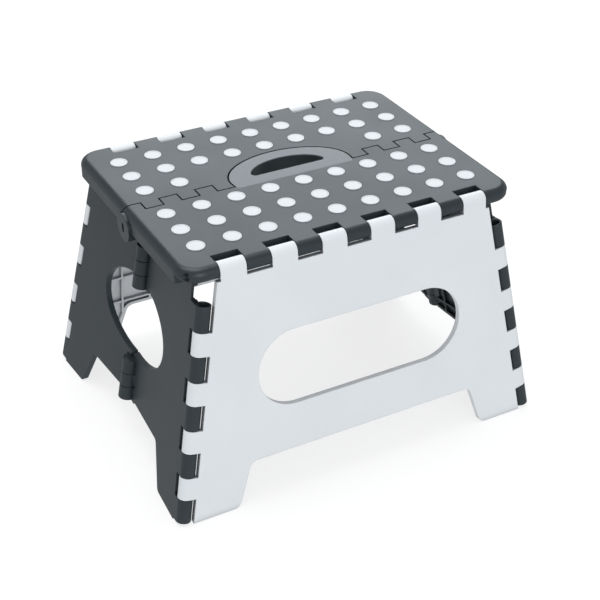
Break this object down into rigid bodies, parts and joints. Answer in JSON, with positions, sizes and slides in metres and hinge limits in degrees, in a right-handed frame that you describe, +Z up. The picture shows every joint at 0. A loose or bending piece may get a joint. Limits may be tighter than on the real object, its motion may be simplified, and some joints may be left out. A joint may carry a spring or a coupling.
{
  "type": "folding step stool",
  "caption": "Low folding step stool with a split standing surface, carrying handle, inlaid grip dots, two long side panels and folding ends.",
  "frame": {"origin": "on the floor under the middle of the stool", "axes": "+X along the stool, -Y to its front, +Z up"},
  "size_m": [0.2862, 0.2254, 0.1805],
  "materials": {
    "dark_plastic": "moulded, fine texture, slate grey",
    "white_plastic": "moulded, satin, cool white",
    "grip_plastic": "soft white grip discs",
    "steel": "drawn wire"
  },
  "bodies": {
    "top_front": {"top_front_half": "dark_plastic", "front_grip_dots": "grip_plastic", "left_fold_pin": "steel", "right_fold_pin": "steel"},
    "top_rear": {"top_rear_half": "dark_plastic", "rear_grip_dots": "grip_plastic"},
    "front_panel": {"front_panel": "white_plastic", "front_edge_pin": "steel", "left_front_corner_pin": "steel", "right_front_corner_pin": "steel"},
    "rear_panel": {"rear_panel": "white_plastic", "rear_edge_pin": "steel", "left_rear_corner_pin": "steel", "right_rear_corner_pin": "steel"},
    "left_front_end": {"left_front_end": "dark_plastic", "left_upper_end_pin": "steel", "left_lower_end_pin": "steel"},
    "left_rear_end": {"left_rear_end": "dark_plastic"},
    "right_front_end": {"right_front_end": "dark_plastic"},
    "right_rear_end": {"right_rear_end": "dark_plastic", "right_upper_end_pin": "steel", "right_lower_end_pin": "steel"}
  },
  "joints": [
    {"name": "top_fold", "type": "hinge", "parent": "top_front", "child": "top_rear", "pos_m": [0, 0, 0.167], "axis": [-1, 0, 0], "range_deg": [0, 180]},
    {"name": "front_edge_hinge", "type": "hinge", "parent": "top_front", "child": "front_panel", "pos_m": [0, -0.0873, 0.1748], "axis": [-1, 0, 0], "range_deg": [0, 84.1]},
    {"name": "rear_edge_hinge", "type": "hinge", "parent": "top_rear", "child": "rear_panel", "pos_m": [0, 0.0873, 0.1748], "axis": [1, 0, 0], "range_deg": [0, 84.1]},
    {"name": "right_front_corner_hinge", "type": "hinge", "parent": "front_panel", "child": "right_front_end", "pos_m": [0.1382, -0.1075, 0], "axis": [-0.1789, 0.1129, 0.9774], "range_deg": [0, 86.6]},
    {"name": "left_front_corner_hinge", "type": "hinge", "parent": "front_panel", "child": "left_front_end", "pos_m": [-0.1382, -0.1075, 0], "axis": [-0.1789, -0.1129, -0.9774], "range_deg": [0, 86.6]},
    {"name": "left_rear_corner_hinge", "type": "hinge", "parent": "rear_panel", "child": "left_rear_end", "pos_m": [-0.1382, 0.1075, 0], "axis": [0.1789, -0.1129, 0.9774], "range_deg": [0, 86.6]},
    {"name": "right_rear_corner_hinge", "type": "hinge", "parent": "rear_panel", "child": "right_rear_end", "pos_m": [0.1382, 0.1075, 0], "axis": [0.1789, 0.1129, -0.9774], "range_deg": [0, 86.6]}
  ],
  "couplings": [
    {"joint": "front_edge_hinge", "follows": "top_fold", "ratio": 0.46664},
    {"joint": "rear_edge_hinge", "follows": "top_fold", "ratio": 0.46664},
    {"joint": "right_front_corner_hinge", "follows": "top_fold", "ratio": 0.47623},
    {"joint": "left_front_corner_hinge", "follows": "top_fold", "ratio": 0.47623},
    {"joint": "left_rear_corner_hinge", "follows": "top_fold", "ratio": 0.47623},
    {"joint": "right_rear_corner_hinge", "follows": "top_fold", "ratio": 0.47623}
  ]
}
